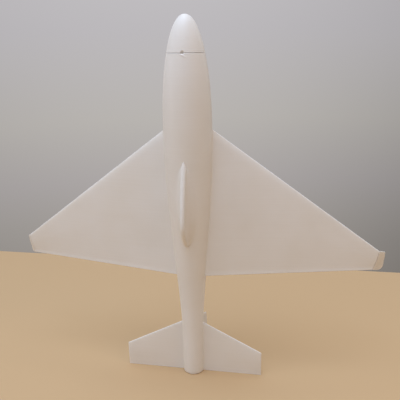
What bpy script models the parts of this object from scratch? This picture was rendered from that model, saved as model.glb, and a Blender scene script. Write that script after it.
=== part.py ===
"""Hand-launched glider, printed in white plastic, standing on its tail.

The frame has +Z from the tail end to the nose, +X along the right span and +Y out of the
top side. The origin is the middle of the flat tail end, so the model stands on z = 0.
Every printed part, weight and fitting is an object of its own, 0.3 mm clear of the next.
"""

from math import cos, pi, radians, sin, tan

import bmesh
import bpy
from mathutils import Vector

# ---- Driving dimensions, in metres ---------------------------------------------------------

GAP = 0.0003                 # clearance between two parts that touch
SEGMENTS = 48                # sides of every turned part

LENGTH = 0.200               # tail end to nose tip
WIDEST_Z = 0.142             # height of the fullest section
WIDEST_RADIUS = 0.0128
BOOM_RADIUS = 0.0059
BOOM_TOP_Z = 0.025           # the boom is straight up to here, then starts to flare
NOSE_FULLNESS = 2.15         # exponent of the nose curve: 2 is an ellipse
FLARE_EXPONENT = 1.5
WALL = 0.0012

SEAM_Z = 0.1819              # nose cone meets pod
BOOM_JOINT_Z = 0.0600        # pod meets boom
SPIGOT_LENGTH = 0.0080
CHAMFER = 0.0005             # on the nose spigot and the ballast slug

WING_LE_ROOT = (0, 0.0005, 0.1529)         # the leading edge runs straight from here
WING_LE_TIP = (0.1015, 0.01046, 0.0769)    # to here, where the winglet's crease starts
WING_TE_ROOT = (0, -0.0030, 0.06184)       # the trailing edge, and the crease's other end
WING_TE_TIP = (0.0988, 0.0102, 0.0659)
WING_ROOT_THICKNESS = 0.0036
WING_TIP_THICKNESS = 0.0014
EDGE_THICKNESS = 0.0006              # blunt trailing edge of every surface
LEADING_SHARE = 0.30                 # share of the chord over which a surface thickens
LEADING_ANGLES = (20, 40, 65, 90)    # degrees round that elliptic front that get a point
TAPER_START = 0.55                   # share of the chord where a surface starts to thin
WINGLET_LE_REACH = (0.0040, 0.0060, -0.0027)    # from the crease to the outer corners
WINGLET_TE_REACH = (0.0065, 0.0081, -0.0036)
WINGLET_EDGE_THICKNESS = 0.0010
WINGLET_CORNER = 0.0052              # rounding of the lower outer corner
WINGLET_STATIONS = (0.45, 0.75, 0.92, 1.0)    # shares of the reach that get a section

TONGUE_THICKNESS = 0.0010
TONGUE_ROOT = 0.0020                 # how far a tongue starts inside its own part
SLOT_OVERRUN = 0.0030                # how far a slot cutter passes the skin
WING_TONGUES = {"front": (0.118, 0.128), "rear": (0.078, 0.088)}
SADDLES = {"front": (0.114, 0.124), "rear": (0.074, 0.084)}
SADDLE_BORES = {"front": 0.0065, "rear": 0.0045}    # radius of each saddle's central hole

TAIL_SPAN = 0.0398                   # boom axis to tailplane tip
FIN_HEIGHT = 0.0435
TAIL_LE_ROOT_Z = 0.0350              # where the leading edges meet the boom axis
TAILPLANE_SLOPE = 0.517              # drop of the leading edges for each unit of span
FIN_SLOPE = 0.483
TAIL_THICKNESS = 0.0014
TAIL_START = 0.0020                  # the panels start this far from the axis, then are trimmed
TAIL_CUTTER = (-0.0020, 0.0450)      # heights between which the boom's skin trims them
TAIL_TONGUE = (0.0060, 0.0120)
TAIL_TONGUE_ROOT = 0.0015
TAIL_TONGUE_INNER = 0.0013           # how near to the axis the tail tongues come
TAIL_PLUG_TOP = 0.0140
TAIL_PLUG_CHAMFER = 0.0003

KEEL_FRONT_Z = 0.1295
KEEL_DEEPEST_Z = 0.0965
KEEL_REAR_Z = 0.0822
KEEL_DEPTH = 0.0098                  # below the skin at the deepest point
KEEL_WIDTH = 0.0132                  # scales an oval whose widest half is 0.47 of this
KEEL_FRONT_TAPER = 0.6               # exponents of the oval's two ends
KEEL_REAR_TAPER = 0.5
KEEL_REAR_LIFT = 0.45                # share of its depth that the ridge loses behind
KEEL_FRONT_CROWN = 1.4               # over 1, its ridge levels off towards the deepest point
KEEL_RIDGE_RADIUS = 0.0014
KEEL_NOSE_START = 0.0015             # the first section lies this far behind the front end
KEEL_SEAT = 0.0025                   # how far inside the skin the untrimmed keel starts
KEEL_HOLLOW = (0.62, 0.36)           # how far towards the ridge the hollow flank bends
KEEL_FLANK_SHARES = (0.25, 0.5, 0.75)     # places along the flank that get a point
KEEL_REAR_ANGLES = (0.35, 1.35)      # radians along the quarter turn of the rear end
KEEL_TONGUE = (0.0960, 0.1100)
KEEL_TONGUE_THICKNESS = 0.0014
KEEL_TONGUE_TOP_Y = -0.0078
SKIN_CUTTER = (0.0500, 0.1650)       # heights between which the skin trims wings and keel

BORE_RADIUS = 0.0063                 # ballast bore in the nose cone
BORE_TOP_Z = 0.1885
PLUG_THICKNESS = 0.0014
NOTCH_WIDTH = 0.0022                 # pry notch in the rim of the nose cone
NOTCH_HEIGHT = 0.0009
NOTCH_DEPTH = 0.0009

PRINTED_WHITE = (0.78, 0.755, 0.73, 1.0)
STEEL_GREY = (0.42, 0.42, 0.43, 1.0)


# ---- Materials -----------------------------------------------------------------------------

def principled(name, colour, roughness, metallic=0.0):
    """A Principled material with the part's own colour and finish."""
    material = bpy.data.materials.new(name)
    material.use_nodes = True
    shader = material.node_tree.nodes["Principled BSDF"]
    shader.inputs["Base Color"].default_value = colour
    shader.inputs["Roughness"].default_value = roughness
    shader.inputs["Metallic"].default_value = metallic
    material.diffuse_color = colour
    return material


# ---- Mesh helpers --------------------------------------------------------------------------

def add_object(name, mesh_data, material=None):
    """Turn a bmesh into a named object in the scene."""
    bmesh.ops.recalc_face_normals(mesh_data, faces=mesh_data.faces)
    mesh = bpy.data.meshes.new(name)
    mesh_data.to_mesh(mesh)
    mesh_data.free()
    if material:
        mesh.materials.append(material)
        mesh.shade_smooth()
        mesh.set_sharp_from_angle(angle=radians(35))
    made = bpy.data.objects.new(name, mesh)
    bpy.context.scene.collection.objects.link(made)
    return made


def add_cutter(name, mesh_data):
    """A shape that only cuts others."""
    cutter = add_object(name, mesh_data)
    cutter.hide_render = True
    cutter.display_type = "WIRE"
    return cutter


def boolean(target, tool, operation="DIFFERENCE", solver="EXACT"):
    """Cut the target with the tool, or join the tool to it."""
    modifier = target.modifiers.new(f"{operation.title()} {tool.name}", "BOOLEAN")
    modifier.operation = operation
    modifier.solver = solver
    modifier.object = tool


def loft(rings, closed_path=False):
    """Skin a list of equal rings, with caps on the ends unless the path closes on itself."""
    mesh_data = bmesh.new()
    layers = [[mesh_data.verts.new(point) for point in ring] for ring in rings]
    pairs = list(zip(layers, layers[1:]))
    if closed_path:
        pairs.append((layers[-1], layers[0]))
    for low, high in pairs:
        for i, start in enumerate(low):
            j = (i + 1) % len(low)
            mesh_data.faces.new((start, low[j], high[j], high[i]))
    if not closed_path:
        mesh_data.faces.new(layers[0])
        mesh_data.faces.new(layers[-1])
    return mesh_data


def turned(profile, hollow=False):
    """Spin (radius, height) points about Z. A hollow profile closes on itself; a solid one
    starts and ends on the axis."""
    steps = [2 * pi * i / SEGMENTS for i in range(SEGMENTS)]
    if hollow:
        rings = [[(r * cos(a), r * sin(a), z) for a in steps] for r, z in profile]
        return loft(rings, closed_path=True)
    mesh_data = bmesh.new()
    bottom = mesh_data.verts.new((0, 0, profile[0][1]))
    top = mesh_data.verts.new((0, 0, profile[-1][1]))
    layers = [[mesh_data.verts.new((r * cos(a), r * sin(a), z)) for a in steps]
              for r, z in profile[1:-1]]
    for i in range(SEGMENTS):
        j = (i + 1) % SEGMENTS
        for low, high in zip(layers, layers[1:]):
            mesh_data.faces.new((low[i], low[j], high[j], high[i]))
        mesh_data.faces.new((bottom, layers[0][j], layers[0][i]))
        mesh_data.faces.new((top, layers[-1][i], layers[-1][j]))
    return mesh_data


def box(low, high):
    """An axis-aligned box between two corners."""
    corners = [(low[0], low[1]), (high[0], low[1]), (high[0], high[1]), (low[0], high[1])]
    return loft([[(x, y, z) for x, y in corners] for z in (low[2], high[2])])


def spread(low, high, count):
    """Evenly spaced values from low to high, both included."""
    return [low + (high - low) * i / (count - 1) for i in range(count)]


def mixed(a, b, share):
    """The value that lies this share of the way from a to b."""
    return a + (b - a) * share


# ---- Fuselage shape ------------------------------------------------------------------------

def skin_radius(z):
    """Outer radius of the fuselage at a height."""
    if z <= BOOM_TOP_Z:
        return BOOM_RADIUS
    if z <= WIDEST_Z:
        share = sin(pi / 2 * (z - BOOM_TOP_Z) / (WIDEST_Z - BOOM_TOP_Z))
        return mixed(BOOM_RADIUS, WIDEST_RADIUS, share ** FLARE_EXPONENT)
    along = min(1.0, (z - WIDEST_Z) / (LENGTH - WIDEST_Z))
    return WIDEST_RADIUS * (1 - along ** NOSE_FULLNESS) ** (1 / NOSE_FULLNESS)


def skin_profile(low, high, count, inset=0.0):
    """(radius, height) points along the skin, moved in by the inset."""
    return [(skin_radius(z) - inset, z) for z in spread(low, high, count)]


def skin_cutter(name, heights):
    """The fuselage grown by the clearance, which trims whatever is seated on the skin."""
    profile = [(skin_radius(z) + GAP, z) for z in heights]
    return add_cutter(name, turned([(0, heights[0])] + profile + [(0, heights[-1])]))


def make_nose_cone(material):
    """Round nose with a spigot that pushes into the pod and a bore for the ballast."""
    low = SEAM_Z + GAP / 2
    spigot = skin_radius(SEAM_Z) - WALL - GAP
    foot = SEAM_Z - SPIGOT_LENGTH
    heights = [mixed(low, LENGTH, 1 - (1 - share) ** 2) for share in spread(0, 1, 13)]
    outside = [(skin_radius(z), z) for z in heights[:-1]]
    spigot_side = [(spigot - CHAMFER, foot), (spigot, foot + CHAMFER), (spigot, low)]
    bore = [(0, BORE_TOP_Z), (BORE_RADIUS, BORE_TOP_Z), (BORE_RADIUS, foot)]
    cone = add_object("nose_cone", turned(bore + spigot_side + outside + [(0, LENGTH)]), material)
    rim = skin_radius(low)
    notch = add_cutter("notch_cutter", box(
        (-NOTCH_WIDTH / 2, -rim - NOTCH_DEPTH, low - NOTCH_HEIGHT),
        (NOTCH_WIDTH / 2, -rim + NOTCH_DEPTH, low + NOTCH_HEIGHT)))
    boolean(cone, notch)


def make_ballast(steel, printed):
    """Steel slug in the nose bore and the disc that keeps it there."""
    radius = BORE_RADIUS - GAP
    disc_low = SEAM_Z - SPIGOT_LENGTH + GAP
    disc_high = disc_low + PLUG_THICKNESS
    slug_low = disc_high + GAP
    slug_high = BORE_TOP_Z - GAP
    slug = [(0, slug_low), (radius - CHAMFER, slug_low), (radius, slug_low + CHAMFER),
            (radius, slug_high - CHAMFER), (radius - CHAMFER, slug_high), (0, slug_high)]
    disc = [(0, disc_low), (radius, disc_low), (radius, disc_high), (0, disc_high)]
    add_object("nose_ballast", turned(slug), steel)
    add_object("ballast_disc", turned(disc), printed)


def make_pod(material, slots):
    """Hollow front fuselage, open at both ends, slotted for the wing and keel tongues."""
    low, high = BOOM_JOINT_Z + GAP / 2, SEAM_Z - GAP / 2
    outside = skin_profile(low, high, 24)
    inside = skin_profile(low, high, 14, inset=WALL)
    pod = add_object("fuselage_pod", turned(outside + inside[::-1], hollow=True), material)
    for slot in slots:
        boolean(pod, slot)


def make_boom(material, slots):
    """Tail tube with a spigot that enters the pod, slotted for the tail tongues."""
    high = BOOM_JOINT_Z - GAP / 2
    spigot = skin_radius(BOOM_JOINT_Z) - WALL - GAP
    outside = skin_profile(0, BOOM_TOP_Z, 2) + skin_profile(BOOM_TOP_Z, high, 9)[1:]
    spigot_side = [(spigot, high), (spigot, high + SPIGOT_LENGTH)]
    bore = BOOM_RADIUS - WALL
    inside = [(spigot - WALL, high + SPIGOT_LENGTH), (spigot - WALL, high),
              (bore, BOOM_TOP_Z), (bore, 0)]
    boom = add_object("tail_boom", turned(outside + spigot_side + inside, hollow=True), material)
    for slot in slots:
        boolean(boom, slot)


def make_saddle(name, reach, bore, slots, material):
    """Ring former inside the pod, with a channel that seats one pair of wing tongues."""
    low, high = reach
    inset = WALL + GAP
    profile = [(skin_radius(low) - inset, low), (skin_radius(high) - inset, high),
               (bore, high), (bore, low)]
    saddle = add_object(name, turned(profile, hollow=True), material)
    for slot in slots:
        boolean(saddle, slot)


# ---- Flat surfaces -------------------------------------------------------------------------

def section(lead, trail, up, thickness, miter=Vector((0, 0, 0))):
    """Ring round a thin surface: elliptic front, flat middle, blunt trailing edge.
    The miter slides each point sideways in step with its height above the middle plane."""
    chord = trail - lead
    length = chord.length
    along = chord.normalized()
    front = length * LEADING_SHARE
    half = thickness / 2
    upper = [(front * (1 - cos(radians(a))), half * sin(radians(a))) for a in LEADING_ANGLES]
    upper += [(length * TAPER_START, half), (length, EDGE_THICKNESS / 2)]
    lower = [(back, -height) for back, height in reversed(upper)]
    outline = [(0, 0)] + upper + lower
    return [lead + along * back + (up + miter) * height for back, height in outline]


def plate(start, end, middle, thickness, grow=0.0):
    """Flat tongue between two (x, z) corners, on the surface that middle(x, z) gives."""
    (x0, z0), (x1, z1) = start, end
    half = thickness / 2 + grow
    rings = []
    for x in (x0, x1):
        corners = [(z0 - grow, -half), (z1 + grow, -half), (z1 + grow, half), (z0 - grow, half)]
        rings.append([middle(x, z) + Vector((0, offset, 0)) for z, offset in corners])
    return loft(rings)


def wing_middle(side):
    """Function that gives the middle surface of a wing at x and z."""
    def at(x, z):
        lead = Vector(WING_LE_ROOT).lerp(Vector(WING_LE_TIP), x / WING_LE_TIP[0])
        trail = Vector(WING_TE_ROOT).lerp(Vector(WING_TE_TIP), x / WING_TE_TIP[0])
        point = lead.lerp(trail, (lead.z - z) / (lead.z - trail.z))
        return Vector((side * x, point.y, z))
    return at


def mirrored(point, side):
    """The point on the right side, or its mirror on the left."""
    x, y, z = point
    return Vector((side * x, y, z))


def wing_frame(side):
    """Up and outward directions of a wing panel, then of its winglet, and how far their common
    end slides sideways for each unit of height."""
    wing_reach = Vector(WING_LE_TIP) - Vector(WING_LE_ROOT)
    wing_out = Vector((wing_reach.x, wing_reach.y, 0)).normalized()
    wing_up = Vector((-wing_out.y, wing_out.x, 0))
    tip_reach = Vector(WINGLET_LE_REACH) + Vector(WINGLET_TE_REACH)
    tip_out = Vector((tip_reach.x, tip_reach.y, 0)).normalized()
    tip_up = Vector((-tip_out.y, tip_out.x, 0))
    miter = tan(wing_out.angle(tip_out) / 2)
    return [mirrored(v, side) for v in (wing_up, wing_out, tip_up, tip_out)] + [miter]


def make_wing(name, side, material, cutter):
    """Swept wing panel, trimmed to the skin, with two tongues that enter the pod."""
    up, out, _, _, miter = wing_frame(side)
    rings = []
    for share in spread(0, 1, 9):
        lead = mirrored(Vector(WING_LE_ROOT).lerp(Vector(WING_LE_TIP), share), side)
        trail = mirrored(Vector(WING_TE_ROOT).lerp(Vector(WING_TE_TIP), share), side)
        thickness = mixed(WING_ROOT_THICKNESS, WING_TIP_THICKNESS, share)
        slide = -out * miter if share == 1 else Vector((0, 0, 0))
        rings.append(section(lead, trail, up, thickness, slide))
    wing = add_object(name, loft(rings), material)
    boolean(wing, cutter)
    for place, (low, high) in WING_TONGUES.items():
        outer = skin_radius((low + high) / 2) + TONGUE_ROOT
        shape = plate((GAP, low), (outer, high), wing_middle(side), TONGUE_THICKNESS)
        boolean(wing, add_cutter(f"{name}_{place}_tongue", shape), "UNION")


def tongue_slot(side, place):
    """Clearance round one wing tongue, from the centre to outside the skin."""
    low, high = WING_TONGUES[place]
    outer = WIDEST_RADIUS + SLOT_OVERRUN
    shape = plate((-GAP, low), (outer, high), wing_middle(side), TONGUE_THICKNESS, GAP)
    name = "right" if side > 0 else "left"
    return add_cutter(f"{name}_{place}_slot", shape)


def make_winglet(name, side, material):
    """Small tip panel, turned up from the end of the wing with its lower corner rounded."""
    _, _, up, out, miter = wing_frame(side)
    lead = mirrored(WING_LE_TIP, side) + out * GAP
    trail = mirrored(WING_TE_TIP, side) + out * GAP
    rings = [section(lead, trail, up, WING_TIP_THICKNESS, out * miter)]
    for share in WINGLET_STATIONS:
        rounding = Vector((0, 0, WINGLET_CORNER * (1 - (1 - share ** 4) ** 0.5)))
        rings.append(section(lead + mirrored(WINGLET_LE_REACH, side) * share,
                             trail + mirrored(WINGLET_TE_REACH, side) * share + rounding,
                             up, mixed(WING_TIP_THICKNESS, WINGLET_EDGE_THICKNESS, share)))
    add_object(name, loft(rings), material)


# ---- Tail ----------------------------------------------------------------------------------

def make_tail_surface(name, direction, up, reach, slope, material, cutter):
    """Tapered tail panel that stands on its trailing edge, with a tongue into the boom."""
    rings = []
    for distance in (TAIL_START, reach / 3, reach * 2 / 3, reach):
        lead = direction * distance + Vector((0, 0, TAIL_LE_ROOT_Z - slope * distance))
        rings.append(section(lead, direction * distance, up, TAIL_THICKNESS))
    panel = add_object(name, loft(rings), material)
    boolean(panel, cutter)
    tongue = add_cutter(f"{name}_tongue", tail_tongue(direction, up, 0))
    boolean(panel, tongue, "UNION", "MANIFOLD")


def tail_tongue(direction, up, grow):
    """Tongue of a tail panel, or with grow the slot that it needs."""
    low, high = TAIL_TONGUE
    half = TONGUE_THICKNESS / 2 + grow
    inner = TAIL_TONGUE_INNER - grow
    outer = BOOM_RADIUS + TAIL_TONGUE_ROOT
    rings = []
    for z in (low - grow, high + grow):
        corners = [(inner, -half), (outer, -half), (outer, half), (inner, half)]
        rings.append([direction * along + up * across + Vector((0, 0, z))
                      for along, across in corners])
    return loft(rings)


def make_tail_plug(material, directions):
    """Plug in the end of the boom. Its flat end is the foot, and a slot open at the top
    seats each tail tongue."""
    radius = BOOM_RADIUS - WALL - GAP
    profile = [(0, 0), (radius - TAIL_PLUG_CHAMFER, 0), (radius, TAIL_PLUG_CHAMFER),
               (radius, TAIL_PLUG_TOP), (0, TAIL_PLUG_TOP)]
    plug = add_object("tail_plug", turned(profile), material)
    half = TONGUE_THICKNESS / 2 + GAP
    low = TAIL_TONGUE[0] - GAP
    high = TAIL_PLUG_TOP + SLOT_OVERRUN
    for name, direction in directions.items():
        across = Vector((-direction.y, direction.x, 0)) * half
        start, end = direction * (TAIL_TONGUE_INNER - GAP), direction * BOOM_RADIUS
        corners = [start - across, end - across, end + across, start + across]
        rings = [[corner + Vector((0, 0, z)) for corner in corners] for z in (low, high)]
        boolean(plug, add_cutter(f"{name}_plug_slot", loft(rings)))


# ---- Keel ----------------------------------------------------------------------------------

def keel_depth(z):
    """How far the keel's ridge stands below the skin."""
    if z > KEEL_DEEPEST_Z:
        share = (z - KEEL_DEEPEST_Z) / (KEEL_FRONT_Z - KEEL_DEEPEST_Z)
        return KEEL_DEPTH * (1 - share ** KEEL_FRONT_CROWN)
    share = (KEEL_DEEPEST_Z - z) / (KEEL_DEEPEST_Z - KEEL_REAR_Z)
    return KEEL_DEPTH * (1 - share ** 2) ** 0.5 * (1 - KEEL_REAR_LIFT * share ** 2)


def keel_half_width(z):
    """Half the keel's width at the skin: a long oval."""
    share = (KEEL_FRONT_Z - z) / (KEEL_FRONT_Z - KEEL_REAR_Z)
    return KEEL_WIDTH * share ** KEEL_FRONT_TAPER * (1 - share) ** KEEL_REAR_TAPER


def keel_ring(z):
    """Section of the keel: hollow flanks that run into a rounded ridge."""
    ridge = -(skin_radius(z) + keel_depth(z))
    half = keel_half_width(z)
    base = -(skin_radius(z) ** 2 - half ** 2) ** 0.5
    radius = min(KEEL_RIDGE_RADIUS, half / 2)
    start = Vector((half, base))
    end = Vector((radius, ridge + radius * 0.9))
    bend = Vector((mixed(start.x, end.x, KEEL_HOLLOW[0]), mixed(start.y, end.y, KEEL_HOLLOW[1])))
    flank = [Vector((half, base + KEEL_SEAT)), start]
    flank += [start.lerp(bend, k).lerp(bend.lerp(end, k), k) for k in KEEL_FLANK_SHARES]
    flank += [end, Vector((radius / 2, ridge + radius * 0.2))]
    left = [(-x, y, z) for x, y in reversed(flank)]
    return [(x, y, z) for x, y in flank] + [(0, ridge, z)] + left


def make_keel(material, cutter):
    """Finger grip under the belly, trimmed to the skin, with a tongue into the pod."""
    front = spread(KEEL_FRONT_Z - KEEL_NOSE_START, KEEL_DEEPEST_Z, 9)
    rear = [mixed(KEEL_DEEPEST_Z, KEEL_REAR_Z, sin(a)) for a in spread(*KEEL_REAR_ANGLES, 5)]
    keel = add_object("finger_keel", loft([keel_ring(z) for z in front + rear]), material)
    boolean(keel, cutter)
    boolean(keel, add_cutter("keel_tongue", keel_tongue(0)), "UNION", "MANIFOLD")


def keel_tongue(grow):
    """Tongue of the keel, or with grow the slot that it needs."""
    low, high = KEEL_TONGUE
    half = KEEL_TONGUE_THICKNESS / 2 + grow
    outer = -skin_radius(high) - SLOT_OVERRUN
    return box((-half, outer, low - grow), (half, KEEL_TONGUE_TOP_Y + grow, high + grow))


# ---- Assembly ------------------------------------------------------------------------------

def main():
    for old in list(bpy.data.objects):
        bpy.data.objects.remove(old, do_unlink=True)
    printed = principled("printed_white", PRINTED_WHITE, 0.45)
    inner = principled("printed_inner", PRINTED_WHITE, 0.6)
    steel = principled("steel", STEEL_GREY, 0.35, metallic=1.0)

    sides = {"left": -1, "right": 1}
    slots = {place: [tongue_slot(side, place) for side in sides.values()]
             for place in WING_TONGUES}
    keel_slot = add_cutter("keel_slot", keel_tongue(GAP))
    skin = skin_cutter("skin_cutter", spread(*SKIN_CUTTER, 24))
    boom_low, boom_high = TAIL_CUTTER
    boom_skin = skin_cutter("boom_cutter", [boom_low] + spread(BOOM_TOP_Z, boom_high, 7))

    make_nose_cone(printed)
    make_ballast(steel, inner)
    make_pod(printed, slots["front"] + slots["rear"] + [keel_slot])
    for place, reach in SADDLES.items():
        make_saddle(f"{place}_wing_saddle", reach, SADDLE_BORES[place], slots[place], inner)
    for word, side in sides.items():
        make_wing(f"{word}_wing", side, printed, skin)
        make_winglet(f"{word}_winglet", side, printed)
    make_keel(printed, skin)

    tail = {"left_tailplane": Vector((-1, 0, 0)), "right_tailplane": Vector((1, 0, 0)),
            "fin": Vector((0, 1, 0))}
    tail_slots = []
    for name, direction in tail.items():
        up = Vector((-direction.y, direction.x, 0))
        reach, slope = (FIN_HEIGHT, FIN_SLOPE) if name == "fin" else (TAIL_SPAN, TAILPLANE_SLOPE)
        make_tail_surface(name, direction, up, reach, slope, printed, boom_skin)
        tail_slots.append(add_cutter(f"{name}_slot", tail_tongue(direction, up, GAP)))
    make_boom(printed, tail_slots)
    make_tail_plug(inner, tail)


main()
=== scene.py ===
"""Looks of the printed hand glider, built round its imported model.

The frame is the model's own: +Z from the tail end to the nose, +X along the right span and
+Y out of the top side, in metres. The belly faces the camera.
"""

from math import cos, hypot, pi, radians, sin, sqrt

import bmesh
import bpy
from mathutils import Matrix, Vector


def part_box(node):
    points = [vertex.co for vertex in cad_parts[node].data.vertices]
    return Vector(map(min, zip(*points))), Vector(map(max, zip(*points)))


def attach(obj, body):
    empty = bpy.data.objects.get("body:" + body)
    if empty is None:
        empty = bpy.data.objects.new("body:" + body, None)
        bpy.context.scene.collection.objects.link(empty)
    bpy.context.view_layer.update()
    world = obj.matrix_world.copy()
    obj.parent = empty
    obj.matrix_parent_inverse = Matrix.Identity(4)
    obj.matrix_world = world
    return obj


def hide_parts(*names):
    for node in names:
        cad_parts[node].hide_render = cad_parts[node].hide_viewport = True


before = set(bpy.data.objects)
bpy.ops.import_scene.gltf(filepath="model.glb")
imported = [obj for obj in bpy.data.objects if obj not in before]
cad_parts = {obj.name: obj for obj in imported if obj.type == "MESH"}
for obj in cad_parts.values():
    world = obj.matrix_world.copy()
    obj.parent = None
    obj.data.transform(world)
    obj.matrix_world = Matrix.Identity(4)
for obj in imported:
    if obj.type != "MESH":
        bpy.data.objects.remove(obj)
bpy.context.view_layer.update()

# ---- Sizes, in metres ----------------------------------------------------------------------

MM = 0.001
GAP = 0.3 * MM                        # the CAD's clearance between pieces
SEGMENTS = 240                        # sides of every turned piece
SHARP_ANGLE = radians(38)             # edges bent by more than this are shaded sharp

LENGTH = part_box("nose_cone")[1].z
SEAM_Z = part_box("fuselage_pod")[1].z + GAP / 2
JOINT_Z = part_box("fuselage_pod")[0].z - GAP / 2
BOOM_SPIGOT_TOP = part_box("tail_boom")[1].z
NOSE_FOOT_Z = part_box("nose_cone")[0].z
WIDEST_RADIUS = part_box("fuselage_pod")[1].x
WIDEST_Z = 142 * MM
BOOM_RADIUS = 5.9 * MM
BOOM_TOP_Z = 25 * MM                  # the boom is straight up to here, and then flares
FLARE_EXPONENT = 1.5                  # higher keeps it slim for longer
NOSE_FULLNESS = 2.15                  # 2 is an ellipse, and higher is blunter
WALL = 1.2 * MM
HAIRLINE = 0.02 * MM                  # half the gap left where pod and boom meet
SEAM_GAP = 0.16 * MM                  # gap left between nose and pod
RIM = 0.14 * MM                       # rounding of the rims at the nose seam
FOOT_RIM = 0.7 * MM                   # rounding of the tail end
CHAMFER = 0.5 * MM
AXIS_CAP = 0.02 * MM                  # radius of the small cap where a skin meets the axis
BORE_RADIUS = 6.3 * MM                # the nose cone's bore for the ballast slug
BORE_TOP_Z = 188.5 * MM
BURIED = 0.25 * MM                    # how far a root reaches under the skin

NOSE_RINGS = 44
NOSE_CROWDING = 2.2                   # above 1, the rings crowd together towards the tip
POD_RINGS = 90
POD_INNER_RINGS = 16
BOOM_RINGS = 40
RIM_STEPS = 4
FINE_BELOW_SEAM = 2.2 * MM            # the reach of the fine rings round the seam
FINE_ABOVE_SEAM = 1.2 * MM
FINE_RINGS = 28
LEAST_RING_STEP = 0.04 * MM

# Layer marks of the print near the seam, as (height, depth, width).
LAYER_MARKS = [(188.9 * MM, 0.030 * MM, 0.5 * MM), (187.7 * MM, 0.025 * MM, 0.4 * MM),
               (183.6 * MM, 0.045 * MM, 0.5 * MM), (182.7 * MM, 0.035 * MM, 0.3 * MM),
               (181.1 * MM, 0.035 * MM, 0.3 * MM), (180.4 * MM, 0.030 * MM, 0.4 * MM)]
NOTCH_X = 0.25 * MM                   # pry notch across the seam, next to the belly line
NOTCH_HALF_WIDTH = 0.95 * MM
NOTCH_TOP = 1.10 * MM                 # its reach above and below the seam
NOTCH_BOTTOM = 0.80 * MM
NOTCH_DEPTH = 0.9 * MM
NOTCH_FLATNESS = 3                    # higher gives a flatter floor and steeper sides
SCAR_START = (-0.3 * MM, -0.9 * MM)   # x, and height from the seam
SCAR_END = (1.7 * MM, -1.8 * MM)
SCAR_WIDTH = 0.45 * MM
SCAR_HEIGHT = 0.10 * MM
MARKED_HALF_WIDTH = 4 * MM            # notch and scar stay within this of the belly line,
SKIN_DEPTH = 0.5 * MM                 # and on points this close to the outer skin

WING_LE_ROOT = Vector((0, 0.5, 152.9)) * MM
WING_LE_TIP = Vector((101.5, 10.46, 76.9)) * MM
WING_TE_ROOT = Vector((0, -3.0, 61.84)) * MM
WING_TE_TIP = Vector((98.8, 10.2, 65.9)) * MM
WING_ROOT_THICKNESS = 3.6 * MM
WING_TIP_THICKNESS = 1.4 * MM
WING_FILLET = 1.0 * MM
WING_ROOT_RANGE = (3 * MM, 30 * MM)   # span distances between which a root meets the skin
WING_STATIONS = 26
EDGE_THICKNESS = 0.6 * MM             # of the trailing edges, without their lip
LIP_LENGTH = 1.4 * MM                 # flared lip along a wing's trailing edge
LIP_HEIGHT = 0.12 * MM
LIP_MOST_SHARE = 0.2                  # largest share of a short chord that the lip takes
LIP_SHAPE = ((0.0, 0.05), (0.2, 0.25), (0.5, 0.75), (0.75, 1.0), (0.9, 0.8), (1.0, 0.2))
LEADING_RADIUS = 0.50 * MM
LEADING_MOST_SHARE = 0.6              # largest share of half the thickness that it takes
LEADING_ARC = 1.25                    # radians of round edge before the elliptic front
LEADING_STEPS = 6
LEADING_SHARE = 0.44                  # share of the chord over which a surface thickens
FRONT_STEPS = (0.06, 0.14, 0.24, 0.36, 0.5, 0.65, 0.8, 0.92, 1.0)
TAPER_START = 0.47                    # share of the chord where it starts to thin again
TAPER_STEPS = (0.0, 0.5, 0.95)
ROOT_HALVINGS = 24                    # enough to find where a root meets the skin
FILLET_STEPS = 7
TIP_ROUNDING = 0.28 * MM
TIP_STEPS = 5
TIP_TUCK = 0.95                       # share of its rounding that a tip edge thins by
CREASE_ROUNDING = 0.12 * MM           # where wing and winglet meet
CREASE_GAP = 0.12 * MM

WINGLET_LE_REACH = Vector((4.0, 6.0, -2.7)) * MM     # from the crease to the outer corners
WINGLET_TE_REACH = Vector((6.5, 8.1, -3.6)) * MM
WINGLET_CORNER = 5.2 * MM             # how far its outer trailing corner is rounded off
WINGLET_CORNER_POWER = 4              # higher keeps the rounding closer to the corner
WINGLET_EDGE_THICKNESS = 1.0 * MM
WINGLET_STATIONS = 22

TAIL_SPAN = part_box("right_tailplane")[1].x
FIN_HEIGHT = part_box("fin")[1].y
TAIL_LE_ROOT_Z = 35.0 * MM
TAILPLANE_SLOPE = 0.517               # drop of the leading edge along the span
FIN_SLOPE = 0.483
TAIL_THICKNESS = 1.4 * MM
TAIL_FILLET = 0.8 * MM
TAIL_ROOT_RANGE = (2 * MM, 12 * MM)
TAIL_STATIONS = 12

KEEL_FRONT_Z = 129.5 * MM
KEEL_DEEPEST_Z = 96.5 * MM
KEEL_REAR_Z = 82.2 * MM
KEEL_DEPTH = 9.8 * MM
KEEL_WIDTH = 13.2 * MM
KEEL_FRONT_TAPER = 0.6                # powers that shape its long oval base
KEEL_REAR_TAPER = 0.5
KEEL_FRONT_CROWN = 1.4                # above 1, the front of the ridge is crowned
KEEL_REAR_LIFT = 0.45                 # share by which the rear of the ridge is drawn in
KEEL_RIDGE_FRONT = 1.6 * MM           # ridge radius at the front and from the deepest point
KEEL_RIDGE_REAR = 1.2 * MM
KEEL_RIDGE_MOST_SHARE = 0.6           # largest share of half the width that it takes
KEEL_RIDGE_SPARE = 0.1 * MM           # how far it may pass the keel's depth
KEEL_HOLLOW = 0.15                    # how close to the ridge its hollow flanks bend
KEEL_FLANK_STEPS = 14
KEEL_RIDGE_STEPS = 6
KEEL_SEAT = 0.5 * MM                  # how far its base lies under the skin
KEEL_SEAT_SHARES = (0.35, 0.97)       # of half the width, where the seat has its points
KEEL_FRONT_START = 0.03               # share of the front length where the first ring lies
KEEL_FRONT_CROWDING = 1.6             # above 1, the rings crowd together towards the front
KEEL_FRONT_RINGS = 34
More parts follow.
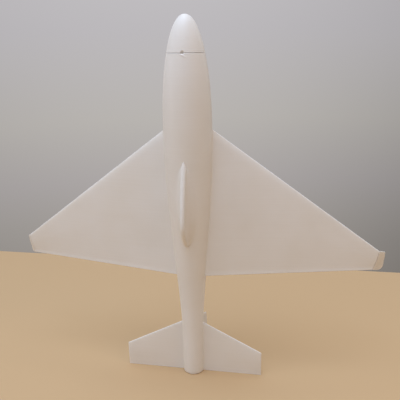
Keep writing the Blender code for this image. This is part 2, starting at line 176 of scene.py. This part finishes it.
KEEL_REAR_ANGLE = 1.54                # a little short of a quarter turn, so it has an end face
KEEL_REAR_RINGS = 24

# ---- Camera, floor and light ---------------------------------------------------------------

CAMERA_PLACE = Vector((0.0546, -0.2635, 0.1876))
CAMERA_YAW = radians(-10.51)
CAMERA_PITCH = radians(17.02)         # below the horizon
CAMERA_ROLL = radians(-1.19)
CAMERA_LENS = 47.0                    # both in millimetres, as Blender has them
CAMERA_SENSOR = 36
CAMERA_NEAREST = 0.01

FLOOR_BACK_Y = 0.155
FLOOR_FRONT_Y = -0.60
FLOOR_HALF_WIDTH = 0.50
FLOOR_Z = -0.05 * MM                  # just clear of the foot


def srgb(red, green, blue):
    """Linear colour with full alpha from 8-bit display values."""
    def linear(value):
        share = value / 255
        return share / 12.92 if share <= 0.04045 else ((share + 0.055) / 1.055) ** 2.4
    return (linear(red), linear(green), linear(blue), 1.0)


FLOOR_COLOUR = srgb(201, 170, 130)
FLOOR_ROUGHNESS = 0.75

# The wall's colour at each height of a direction, from -1 straight down to 1 straight up. Its
# brightness falls off with the square of the distance to the side of its brightest line.
WALL_COLOURS = [(-0.42, srgb(150, 144, 138)), (-0.32, srgb(163, 158, 154)),
                (-0.25, srgb(172, 167, 166)), (-0.14, srgb(184, 180, 176)),
                (0.02, srgb(188, 185, 188)), (0.6, srgb(215, 214, 216))]
WALL_LOW, WALL_HIGH = -0.5, 1.0
WALL_BRIGHTEST_X = -0.25
WALL_FALL_LOW = (-0.35, 1.7)          # height of a direction, and how fast the wall darkens
WALL_FALL_HIGH = (0.0, 0.85)
WALL_DARKEST = 0.62

PRINTED_WHITE = srgb(232, 229, 226)
PRINTED_SHADE = srgb(226, 221, 214)
PRINTED_ROUGHNESS = 0.46
INNER_WHITE = srgb(222, 218, 210)
INNER_ROUGHNESS = 0.58
STEEL_LIGHT = srgb(178, 178, 182)
STEEL_DARK = srgb(120, 120, 124)

# Name, place, size, watts and colour of every soft light. All look at the same target.
LIGHTS = [
    ("left", (-0.90, -0.30, 0.25), 0.6, 1.35, (1.00, 0.95, 0.90)),
    ("left_back", (-0.70, 0.60, 0.35), 0.5, 0.30, (1.00, 0.90, 0.85)),
    ("near_top", (-0.05, -0.12, 0.55), 0.3, 1.00, (0.56, 0.72, 1.00)),
    ("near_right", (0.45, -0.25, 0.42), 0.3, 0.40, (1.00, 0.60, 0.20)),
    ("right_back", (0.70, 0.60, 0.40), 0.5, 0.75, (0.85, 0.93, 1.00)),
    ("top", (0.00, 0.00, 1.10), 0.6, 2.60, (0.80, 0.90, 1.00)),
]
LIGHT_TARGET = (0, 0, 0.1)

# ---- Node helpers --------------------------------------------------------------------------

class Tree:
    """The nodes of a material or a world, with short calls for adding and linking them."""

    def __init__(self, owner, shader):
        owner.use_nodes = True
        self.owner = owner
        self.nodes = owner.node_tree.nodes
        self.links = owner.node_tree.links
        self.shader = self.nodes[shader]

    def add(self, kind, inputs=None, **settings):
        """A node with its settings, and its inputs set to values or linked to sockets."""
        node = self.nodes.new(kind)
        for key, value in settings.items():
            setattr(node, key, value)
        for key, value in (inputs or {}).items():
            self.feed(node.inputs[key], value)
        return node

    def feed(self, socket, value):
        """Link a socket's source to it, or set it to a constant."""
        if isinstance(value, bpy.types.NodeSocket):
            self.links.new(value, socket)
        else:
            socket.default_value = value

    def maths(self, operation, *values):
        """The result of one Math node."""
        node = self.add("ShaderNodeMath", dict(enumerate(values)), operation=operation)
        return node.outputs[0]

    def split(self, vector):
        """The X, Y and Z outputs of a vector."""
        return self.add("ShaderNodeSeparateXYZ", {0: vector}).outputs

    def stretched(self, vector, scale):
        """The vector with its own scale along each axis."""
        return self.add("ShaderNodeMapping", {"Vector": vector, "Scale": scale}).outputs[0]

    def remap(self, value, low, high, to_low, to_high):
        """The value moved from one range to another, and kept inside it."""
        return self.add("ShaderNodeMapRange", {
            "Value": value, "From Min": low, "From Max": high,
            "To Min": to_low, "To Max": to_high}).outputs["Result"]

    def noise(self, vector, scale, detail=2.0, roughness=0.5):
        """Smooth noise about 0.5."""
        return self.add("ShaderNodeTexNoise", {
            "Vector": vector, "Scale": scale, "Detail": detail,
            "Roughness": roughness}).outputs["Fac"]

    def mix(self, share, first, second):
        """A colour that lies this share of the way from the first to the second."""
        node = self.add("ShaderNodeMix", data_type="RGBA")
        for socket, value in zip((node.inputs[0], node.inputs[6], node.inputs[7]),
                                 (share, first, second)):
            self.feed(socket, value)
        return node.outputs[2]

    def bump(self, height, strength, distance, normal=None):
        """A normal with this relief on top of an earlier one."""
        inputs = {"Height": height, "Strength": strength, "Distance": distance}
        if normal is not None:
            inputs["Normal"] = normal
        return self.add("ShaderNodeBump", inputs).outputs["Normal"]


def new_material(name):
    """The node tree of a new material."""
    return Tree(bpy.data.materials.new(name), "Principled BSDF")


LAYER_HEIGHT = 0.2 * MM
DRIFT_SCALE = 900.0                   # noise scales, per metre
STREAK_SCALE = (14.0, 14.0, 2600.0)
GRAIN_SCALE = 5200.0
CLOUD_SCALE = 38.0
CLOUD_SHARE = 0.65                    # of the change in colour; the streaks do the rest
LAYER_RELIEF = (0.10, 0.010 * MM)     # strength and height of each bump
DRIFT_RELIEF = (0.35, 0.045 * MM)
GRAIN_RELIEF = (0.18, 0.02 * MM)
GRAIN_GLOSS = 0.05                    # changes in roughness to either side
DRIFT_GLOSS = 0.03
PLASTIC_IOR = 1.46


def printed_plastic(name, light, shade, roughness):
    """Layered, satin printed plastic. Its layers are level with the build plate."""
    tree = new_material(name)
    place = tree.add("ShaderNodeTexCoord").outputs["Object"]
    height = tree.split(place)["Z"]
    level = tree.add("ShaderNodeCombineXYZ", {"Z": height}).outputs[0]

    # Fine layers, and a slow drift in how far each one stands out.
    layers = tree.maths("SINE", tree.maths("MULTIPLY", height, 2 * pi / LAYER_HEIGHT))
    drift = tree.noise(level, DRIFT_SCALE, detail=3.0, roughness=0.7)
    streaks = tree.noise(tree.stretched(place, STREAK_SCALE), 1.0, detail=2.0)
    grain = tree.noise(place, GRAIN_SCALE, detail=2.0)
    clouds = tree.noise(place, CLOUD_SCALE, detail=3.0)

    mottle = tree.maths("ADD", tree.remap(clouds, 0.3, 0.7, 0.0, CLOUD_SHARE),
                        tree.remap(streaks, 0.25, 0.75, 0.0, 1 - CLOUD_SHARE))
    tree.feed(tree.shader.inputs["Base Color"], tree.mix(mottle, light, shade))
    low, high = roughness - GRAIN_GLOSS, roughness + GRAIN_GLOSS
    gloss = tree.maths("ADD", tree.remap(grain, 0.2, 0.8, low, high),
                       tree.remap(drift, 0.2, 0.8, -DRIFT_GLOSS, DRIFT_GLOSS))
    tree.feed(tree.shader.inputs["Roughness"], gloss)

    relief = tree.bump(layers, *LAYER_RELIEF)
    relief = tree.bump(drift, *DRIFT_RELIEF, relief)
    relief = tree.bump(grain, *GRAIN_RELIEF, relief)
    tree.feed(tree.shader.inputs["Normal"], relief)

    tree.shader.inputs["IOR"].default_value = PLASTIC_IOR
    return tree.owner


RING_SCALE = (60.0, 60.0, 9000.0)
STAIN_SCALE = 260.0
RING_RELIEF = (0.3, 0.02 * MM)
RING_GLOSS = (0.24, 0.42)             # least and greatest roughness


def turned_steel(name):
    """Steel with the fine rings that a lathe leaves."""
    tree = new_material(name)
    place = tree.add("ShaderNodeTexCoord").outputs["Object"]
    rings = tree.noise(tree.stretched(place, RING_SCALE), 1.0, detail=3.0)
    stains = tree.noise(place, STAIN_SCALE, detail=4.0)
    tree.feed(tree.shader.inputs["Base Color"],
              tree.mix(tree.remap(stains, 0.35, 0.7, 0.0, 1.0), STEEL_LIGHT, STEEL_DARK))
    tree.feed(tree.shader.inputs["Roughness"], tree.remap(rings, 0.3, 0.7, *RING_GLOSS))
    tree.feed(tree.shader.inputs["Normal"], tree.bump(rings, *RING_RELIEF))
    tree.shader.inputs["Metallic"].default_value = 1.0
    return tree.owner


# ---- Mesh helpers --------------------------------------------------------------------------

def spread(low, high, count):
    """Evenly spaced values from low to high, both included."""
    return [low + (high - low) * i / (count - 1) for i in range(count)]


def mixed(a, b, share):
    """The value that lies this share of the way from a to b."""
    return a + (b - a) * share


def loft(rings, closed=False):
    """Skin equal rings, capping the ends unless the path closes on itself."""
    mesh_data = bmesh.new()
    layers = [[mesh_data.verts.new(point) for point in ring] for ring in rings]
    pairs = list(zip(layers, layers[1:]))
    if closed:
        pairs.append((layers[-1], layers[0]))
    for low, high in pairs:
        for i, start in enumerate(low):
            j = (i + 1) % len(low)
            mesh_data.faces.new((start, low[j], high[j], high[i]))
    if not closed:
        mesh_data.faces.new(layers[0])
        mesh_data.faces.new(layers[-1])
    return mesh_data


def turned(profile, closed=True):
    """Spin (radius, height) points about Z. A profile that isn't closed starts and ends near
    the axis, with a small cap."""
    steps = [2 * pi * i / SEGMENTS for i in range(SEGMENTS)]
    rings = [[(r * cos(a), r * sin(a), z) for a in steps] for r, z in profile]
    return loft(rings, closed=closed)


def add_object(name, mesh_data, material):
    """Turn a bmesh into an object with one material."""
    mesh = bpy.data.meshes.new(name)
    mesh_data.to_mesh(mesh)
    mesh_data.free()
    mesh.materials.append(material)
    made = bpy.data.objects.new(name, mesh)
    bpy.context.scene.collection.objects.link(made)
    return made


def add_piece(name, mesh_data, material, body, node):
    """Turn a bmesh into a shaded piece that rides on a body and stands for its CAD node."""
    bmesh.ops.recalc_face_normals(mesh_data, faces=mesh_data.faces)
    piece = add_object(name, mesh_data, material)
    piece.data.shade_smooth()
    piece.data.set_sharp_from_angle(angle=SHARP_ANGLE)
    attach(piece, body)
    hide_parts(node)


# ---- Fuselage ------------------------------------------------------------------------------

def skin_radius(z):
    """Outer radius of the fuselage at a height."""
    if z <= BOOM_TOP_Z:
        return BOOM_RADIUS
    if z <= WIDEST_Z:
        share = sin(pi / 2 * (z - BOOM_TOP_Z) / (WIDEST_Z - BOOM_TOP_Z))
        return mixed(BOOM_RADIUS, WIDEST_RADIUS, share ** FLARE_EXPONENT)
    along = min(1.0, (z - WIDEST_Z) / (LENGTH - WIDEST_Z))
    return WIDEST_RADIUS * (1 - along ** NOSE_FULLNESS) ** (1 / NOSE_FULLNESS)


def rim_arc(radius, z, size, sign):
    """Quarter-round rim at a turned edge, from the skin to the end face. The sign is 1 where
    the end face looks up and -1 where it looks down."""
    return [(radius - size * (1 - cos(a)), z - sign * size * (1 - sin(a)))
            for a in spread(0, pi / 2, RIM_STEPS)]


def marked_heights(heights):
    """Rising heights, with more of them where a layer mark or the notch needs a finer mesh."""
    low, high = heights[0], heights[-1]
    extra = [z + width * k for z, _, width in LAYER_MARKS for k in (-0.5, -0.25, 0, 0.25, 0.5)]
    extra += spread(SEAM_Z - FINE_BELOW_SEAM, SEAM_Z + FINE_ABOVE_SEAM, FINE_RINGS)
    wanted = sorted(set(heights) | {z for z in extra if low < z < high})
    kept = [wanted[0]]
    for z in wanted[1:]:
        if z - kept[-1] > LEAST_RING_STEP:
            kept.append(z)
    kept[-1] = high
    return kept


def marked_radius(z):
    """Skin radius with the layer marks taken off."""
    marks = sum(depth * (cos(pi * (abs(z - place) / width * 2)) * 0.5 + 0.5)
                for place, depth, width in LAYER_MARKS if abs(z - place) < width / 2)
    return skin_radius(z) - marks


def mark_belly(mesh_data):
    """Press the notch into the skin at the seam, and raise the small scar below it."""
    (x0, z0), (x1, z1) = SCAR_START, SCAR_END
    scar_square = (x1 - x0) ** 2 + (z1 - z0) ** 2
    for vert in mesh_data.verts:
        x, y, z = vert.co
        radius = hypot(x, y)
        if y > 0 or radius < skin_radius(z) - SKIN_DEPTH or abs(x) > MARKED_HALF_WIDTH:
            continue
        above = z - SEAM_Z
        reach = NOTCH_TOP if above > 0 else NOTCH_BOTTOM
        spot = hypot((x - NOTCH_X) / NOTCH_HALF_WIDTH, above / reach)
        shift = -NOTCH_DEPTH * max(0.0, 1 - spot ** NOTCH_FLATNESS)
        along = ((x - x0) * (x1 - x0) + (above - z0) * (z1 - z0)) / scar_square
        along = min(1.0, max(0.0, along))
        off = hypot(x - mixed(x0, x1, along), above - mixed(z0, z1, along)) / SCAR_WIDTH
        shift += SCAR_HEIGHT * max(0.0, 1 - off ** 2)
        vert.co.x, vert.co.y = x * (1 + shift / radius), y * (1 + shift / radius)


def make_nose(material):
    """Nose cone with its bore and spigot."""
    low = SEAM_Z + SEAM_GAP / 2
    rim = skin_radius(low)
    spigot = skin_radius(SEAM_Z) - WALL - GAP
    heights = [mixed(low + RIM, LENGTH, 1 - (1 - share) ** NOSE_CROWDING)
               for share in spread(0, 1, NOSE_RINGS)]
    outside = [(marked_radius(z), z) for z in marked_heights(heights)[1:-1]]
    outside.append((AXIS_CAP, LENGTH))
    bore = [(AXIS_CAP, BORE_TOP_Z), (BORE_RADIUS, BORE_TOP_Z), (BORE_RADIUS, NOSE_FOOT_Z)]
    side = [(spigot - CHAMFER, NOSE_FOOT_Z), (spigot, NOSE_FOOT_Z + CHAMFER), (spigot, low)]
    profile = bore + side + rim_arc(rim, low, RIM, -1)[::-1] + outside
    shape = turned(profile, closed=False)
    mark_belly(shape)
    add_piece("nose_cone_shell", shape, material, "nose", "nose_cone")


def make_pod(material):
    """Hollow pod, open at both ends."""
    low, high = JOINT_Z + HAIRLINE, SEAM_Z - SEAM_GAP / 2
    heights = marked_heights(spread(low, high - RIM, POD_RINGS))
    outside = [(marked_radius(z), z) for z in heights]
    outside += rim_arc(skin_radius(high), high, RIM, 1)[1:]
    inside = [(skin_radius(z) - WALL, z) for z in spread(high, low, POD_INNER_RINGS)]
    shape = turned(outside + inside)
    mark_belly(shape)
    add_piece("fuselage_pod_shell", shape, material, "airframe", "fuselage_pod")


def make_boom(material):
    """Tail tube with a rounded foot, and the spigot that goes into the pod."""
    high, top = JOINT_Z - HAIRLINE, BOOM_SPIGOT_TOP
    spigot = skin_radius(JOINT_Z) - WALL - GAP
    bore = BOOM_RADIUS - WALL
    outside = rim_arc(BOOM_RADIUS, 0, FOOT_RIM, -1)[::-1]
    outside += [(skin_radius(z), z) for z in spread(FOOT_RIM, high, BOOM_RINGS)[1:]]
    side = [(spigot, high), (spigot, top - CHAMFER), (spigot - CHAMFER, top)]
    inside = [(spigot - WALL, top), (spigot - WALL, high), (bore, BOOM_TOP_Z), (bore, 0)]
    shape = turned(outside + side + inside)
    add_piece("tail_boom_shell", shape, material, "airframe", "tail_boom")


# ---- Flat surfaces -------------------------------------------------------------------------

def outline(length, thickness, lip):
    """Outline of a surface's section as (back, height) points, from the leading edge over the
    top and back along the underside. A round leading edge runs into an elliptic front, then
    come a flat middle, a taper and a blunt trailing edge with a lip that flares out."""
    half = thickness / 2
    nose = min(LEADING_RADIUS, half * LEADING_MOST_SHARE)
    front = length * LEADING_SHARE
    taper = length * TAPER_START
    edge = length - min(LIP_LENGTH, length * LIP_MOST_SHARE)
    tail = EDGE_THICKNESS / 2
    top = [(nose * (1 - cos(a)), nose * sin(a)) for a in spread(0, LEADING_ARC, LEADING_STEPS)[1:]]
    start_back, start_height = top[-1]
    for k in FRONT_STEPS:
        rise = sqrt(1 - (1 - k) ** 2)
        top.append((mixed(start_back, front, k), mixed(start_height, half, rise)))
    top += [(mixed(taper, edge, k), mixed(half, tail, k)) for k in TAPER_STEPS]
    top += [(mixed(edge, length, k), tail + lip * rise) for k, rise in LIP_SHAPE]
    under = [(back, -height) for back, height in reversed(top)]
    return [(0.0, 0.0)] + top + under


def outward(points, index):
    """Unit normal of a closed outline at one of its points, away from its inside."""
    before, after = points[index - 1], points[(index + 1) % len(points)]
    back, height = after[0] - before[0], after[1] - before[1]
    size = hypot(back, height) or 1.0
    return -height / size, back / size


def panel(lead_at, trail_at, up, thickness_at, tip, stations, root_range=None, fillet=0.0,
          lip=0.0, rounding=TIP_ROUNDING):
    """Loft a thin surface from its root to its tip. lead_at and trail_at give the edges at a
    distance along the span. Where it has a root range, each line of the surface starts where
    it meets the skin within that range, and flares into it with a small fillet. Without one,
    the surface starts at distance 0. The tip edge is rounded."""
    count = len(outline(1.0, 0.01, 0.0))

    def point(index, distance, extra):
        """A point of the outline at a distance, moved out by extra, though never aft."""
        lead = lead_at(distance)
        chord = trail_at(distance) - lead
        points = outline(chord.length, thickness_at(distance), lip)
        back, height = points[index]
        out_back, out_height = outward(points, index)
        back, height = back + extra * min(0, out_back), height + extra * out_height
        return lead + chord.normalized() * back + up * height

    def skin_start(index):
        """The distance at which this line of the surface goes under the skin, by halving."""
        low, high = root_range
        for _ in range(ROOT_HALVINGS):
            middle = (low + high) / 2
            place = point(index, middle, fillet)
            if hypot(place.x, place.y) < skin_radius(place.z) - BURIED:
                low = middle
            else:
                high = middle
        return (low + high) / 2

    starts = [skin_start(i) if root_range else 0.0 for i in range(count)]
    rings = []
    for angle in (spread(pi / 2, 0, FILLET_STEPS) if root_range else [0.0]):
        reach = (1 - sin(angle)) * fillet
        extra = (1 - cos(angle)) * fillet
        rings.append([point(i, starts[i] + reach, extra) for i in range(count)])
    last = tip - rounding
    for share in spread(0, 1, stations)[1:]:
        rings.append([point(i, mixed(starts[i] + fillet, last, share), 0) for i in range(count)])
    for angle in spread(0, pi / 2, TIP_STEPS)[1:]:
        tuck = -rounding * (1 - cos(angle)) * TIP_TUCK
        rings.append([point(i, last + rounding * sin(angle), tuck) for i in range(count)])
    return loft(rings)


def mirrored(point, side):
    """The point on the right side, or its mirror on the left."""
    return Vector((side * point.x, point.y, point.z))


def top_direction(reach, side):
    """Unit direction out of the top side of a panel that reaches outwards like this."""
    return Vector((-reach.y * side, abs(reach.x), 0)).normalized()


def make_wing(word, side, material):
    """Wing panel out to the crease. The side is 1 on the right and -1 on the left."""
    span = WING_LE_TIP.x
    shape = panel(
        lambda d: mirrored(WING_LE_ROOT.lerp(WING_LE_TIP, d / span), side),
        lambda d: mirrored(WING_TE_ROOT.lerp(WING_TE_TIP, d / span), side),
        top_direction(WING_LE_TIP - WING_LE_ROOT, side),
        lambda d: mixed(WING_ROOT_THICKNESS, WING_TIP_THICKNESS, d / span),
        span, WING_STATIONS, WING_ROOT_RANGE, WING_FILLET, LIP_HEIGHT, CREASE_ROUNDING)
    add_piece(f"{word}_wing_panel", shape, material, "airframe", f"{word}_wing")


def make_winglet(word, side, material):
    """Upturned tip with a rounded trailing corner, a hairline off the wing."""
    reach = WINGLET_LE_REACH + WINGLET_TE_REACH
    size = reach.length / 2
    clear = mirrored(reach.normalized() * CREASE_GAP, side)
    lead = mirrored(WING_LE_TIP, side) + clear
    trail = mirrored(WING_TE_TIP, side) + clear

    def trail_at(distance):
        share = distance / size
        left = sqrt(max(0.0, 1 - share ** WINGLET_CORNER_POWER))
        corner = Vector((0, 0, WINGLET_CORNER * (1 - left)))
        return trail + mirrored(WINGLET_TE_REACH, side) * share + corner

    shape = panel(
        lambda d: lead + mirrored(WINGLET_LE_REACH, side) * (d / size), trail_at,
        top_direction(reach, side),
        lambda d: mixed(WING_TIP_THICKNESS, WINGLET_EDGE_THICKNESS, d / size),
        size, WINGLET_STATIONS, lip=LIP_HEIGHT)
    add_piece(f"{word}_winglet_panel", shape, material, "airframe", f"{word}_winglet")


def make_tail_surface(node, direction, reach, slope, material):
    """Tailplane or fin, whose trailing edge stands on the floor."""
    up = Vector((-direction.y, direction.x, 0))
    if up.y < 0:
        up = -up
    shape = panel(
        lambda d: direction * d + Vector((0, 0, TAIL_LE_ROOT_Z - slope * d)),
        lambda d: direction * d,
        up, lambda d: TAIL_THICKNESS, reach, TAIL_STATIONS, TAIL_ROOT_RANGE, TAIL_FILLET)
    add_piece(f"{node}_panel", shape, material, "airframe", node)


# ---- Keel ----------------------------------------------------------------------------------

def keel_depth(z):
    """How far the keel's ridge stands below the skin."""
    if z > KEEL_DEEPEST_Z:
        share = (z - KEEL_DEEPEST_Z) / (KEEL_FRONT_Z - KEEL_DEEPEST_Z)
        return KEEL_DEPTH * (1 - share ** KEEL_FRONT_CROWN)
    share = min(1.0, (KEEL_DEEPEST_Z - z) / (KEEL_DEEPEST_Z - KEEL_REAR_Z))
    return KEEL_DEPTH * sqrt(max(0.0, 1 - share ** 2)) * (1 - KEEL_REAR_LIFT * share ** 2)


def keel_half_width(z):
    """Half the keel's width at the skin: a long oval."""
    share = (KEEL_FRONT_Z - z) / (KEEL_FRONT_Z - KEEL_REAR_Z)
    return KEEL_WIDTH * share ** KEEL_FRONT_TAPER * (1 - share) ** KEEL_REAR_TAPER


def keel_ridge(z, half, depth):
    """Radius of the ridge, which is sharper from the deepest point on."""
    share = min(1.0, (KEEL_FRONT_Z - z) / (KEEL_FRONT_Z - KEEL_DEEPEST_Z))
    return min(mixed(KEEL_RIDGE_FRONT, KEEL_RIDGE_REAR, share), half * KEEL_RIDGE_MOST_SHARE,
               depth + KEEL_RIDGE_SPARE)


def keel_ring(z):
    """Section of the keel, as x and how far it stands out below the axis. Its flanks leave the
    skin flush, bend in a hollow and end in a rounded ridge."""
    radius = skin_radius(z)
    half = keel_half_width(z)
    depth = keel_depth(z)
    ridge = keel_ridge(z, half, depth)
    base = sqrt(radius ** 2 - half ** 2)
    end = Vector((ridge, radius + depth - ridge))
    bend_x = mixed(ridge, half, KEEL_HOLLOW)
    bend = Vector((bend_x, min(end.y, base + half * (half - bend_x) / base)))
    start = Vector((half, base))
    flank = [start.lerp(bend, k).lerp(bend.lerp(end, k), k)
             for k in spread(0, 1, KEEL_FLANK_STEPS)]
    tip = [end + Vector((cos(a) - 1, sin(a))) * ridge
           for a in spread(0, pi / 2, KEEL_RIDGE_STEPS)[1:-1]]
    seat = [Vector((half * k, sqrt(radius ** 2 - (half * k) ** 2) - KEEL_SEAT))
            for k in KEEL_SEAT_SHARES]
    right = [(point.x, -point.y) for point in seat + flank + tip]
    left = [(-x, y) for x, y in reversed(right)]
    return [(x, y, z) for x, y in right + [(0, -(radius + depth))] + left]


def make_keel(material):
    """Finger keel, lofted from its front point to its steep rear."""
    length = KEEL_FRONT_Z - KEEL_DEEPEST_Z
    front = [KEEL_FRONT_Z - length * share ** KEEL_FRONT_CROWDING
             for share in spread(KEEL_FRONT_START, 1, KEEL_FRONT_RINGS)]
    rear = [mixed(KEEL_DEEPEST_Z, KEEL_REAR_Z, sin(a))
            for a in spread(0, KEEL_REAR_ANGLE, KEEL_REAR_RINGS)[1:]]
    shape = loft([keel_ring(z) for z in front + rear])
    add_piece("finger_keel_body", shape, material, "airframe", "finger_keel")


# ---- Stage ---------------------------------------------------------------------------------

def make_floor():
    """Plain pale floor with a straight back edge."""
    tree = new_material("floor_matt")
    tree.shader.inputs["Base Color"].default_value = FLOOR_COLOUR
    tree.shader.inputs["Roughness"].default_value = FLOOR_ROUGHNESS
    mesh_data = bmesh.new()
    corners = [(-FLOOR_HALF_WIDTH, FLOOR_FRONT_Y), (FLOOR_HALF_WIDTH, FLOOR_FRONT_Y),
               (FLOOR_HALF_WIDTH, FLOOR_BACK_Y), (-FLOOR_HALF_WIDTH, FLOOR_BACK_Y)]
    mesh_data.faces.new([mesh_data.verts.new((x, y, FLOOR_Z)) for x, y in corners])
    floor = add_object("floor", mesh_data, tree.owner)


def make_world():
    """Studio wall all round: paler upwards, and a little darker to the sides."""
    world = bpy.data.worlds.new("studio")
    bpy.context.scene.world = world
    tree = Tree(world, "Background")
    direction = tree.split(tree.add("ShaderNodeTexCoord").outputs["Generated"])
    ramp = tree.add("ShaderNodeValToRGB", {
        "Fac": tree.remap(direction["Z"], WALL_LOW, WALL_HIGH, 0.0, 1.0)})
    steps = ramp.color_ramp.elements
    while len(steps) < len(WALL_COLOURS):
        steps.new(1.0)
    for step, (height, colour) in zip(steps, WALL_COLOURS):
        step.position = (height - WALL_LOW) / (WALL_HIGH - WALL_LOW)
        step.color = colour
    off = tree.maths("ADD", direction["X"], -WALL_BRIGHTEST_X)
    (low, fast), (high, slow) = WALL_FALL_LOW, WALL_FALL_HIGH
    fall = tree.maths("MULTIPLY", tree.maths("MULTIPLY", off, off),
                      tree.remap(direction["Z"], low, high, fast, slow))
    share = tree.maths("MAXIMUM", tree.maths("SUBTRACT", 1.0, fall), WALL_DARKEST)
    tree.feed(tree.shader.inputs["Color"], ramp.outputs["Color"])
    tree.feed(tree.shader.inputs["Strength"], share)


def add_light(name, place, size, power, colour):
    """Square soft light that looks at the common target."""
    lamp = bpy.data.lights.new(name, "AREA")
    lamp.size = size
    lamp.energy = power
    lamp.color = colour
    light = bpy.data.objects.new(name, lamp)
    light.location = place
    look = Vector(LIGHT_TARGET) - Vector(place)
    light.rotation_euler = look.to_track_quat("-Z", "Y").to_euler()
    bpy.context.scene.collection.objects.link(light)


def make_camera():
    """Camera that looks slightly down at the belly side from the right."""
    forward = Vector((sin(CAMERA_YAW) * cos(CAMERA_PITCH), cos(CAMERA_YAW) * cos(CAMERA_PITCH),
                      -sin(CAMERA_PITCH)))
    level = Vector((cos(CAMERA_YAW), -sin(CAMERA_YAW), 0))
    above = level.cross(forward)
    right = cos(CAMERA_ROLL) * level + sin(CAMERA_ROLL) * above
    up = -sin(CAMERA_ROLL) * level + cos(CAMERA_ROLL) * above
    camera_data = bpy.data.cameras.new("camera")
    camera_data.lens = CAMERA_LENS
    camera_data.sensor_width = CAMERA_SENSOR
    camera_data.clip_start = CAMERA_NEAREST
    camera = bpy.data.objects.new("camera", camera_data)
    axes = Matrix((right, up, -forward)).transposed()
    camera.matrix_world = Matrix.Translation(CAMERA_PLACE) @ axes.to_4x4()
    bpy.context.scene.collection.objects.link(camera)
    bpy.context.scene.camera = camera


# ---- Build ---------------------------------------------------------------------------------

def dress_cad_nodes(inner, steel):
    """Materials for the small inner parts, whose CAD shapes stay."""
    for node, material in (("ballast_disc", inner), ("front_wing_saddle", inner),
                           ("rear_wing_saddle", inner), ("tail_plug", inner),
                           ("nose_ballast", steel)):
        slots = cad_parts[node].data.materials
        slots.clear()
        slots.append(material)


def main():
    """Build and light the whole scene."""
    printed = printed_plastic("printed_white_layers", PRINTED_WHITE, PRINTED_SHADE,
                              PRINTED_ROUGHNESS)
    inner = printed_plastic("printed_inner_layers", INNER_WHITE, PRINTED_SHADE,
                            INNER_ROUGHNESS)
    steel = turned_steel("turned_steel")

    make_nose(printed)
    make_pod(printed)
    make_boom(printed)
    for word, side in (("left", -1), ("right", 1)):
        make_wing(word, side, printed)
        make_winglet(word, side, printed)
    for word, side in (("left", -1), ("right", 1)):
        make_tail_surface(f"{word}_tailplane", Vector((side, 0, 0)), TAIL_SPAN,
                          TAILPLANE_SLOPE, printed)
    make_tail_surface("fin", Vector((0, 1, 0)), FIN_HEIGHT, FIN_SLOPE, printed)
    make_keel(printed)
    dress_cad_nodes(inner, steel)

    make_floor()
    make_world()
    for light in LIGHTS:
        add_light(*light)
    make_camera()
    bpy.context.scene.view_settings.view_transform = "Standard"


main()
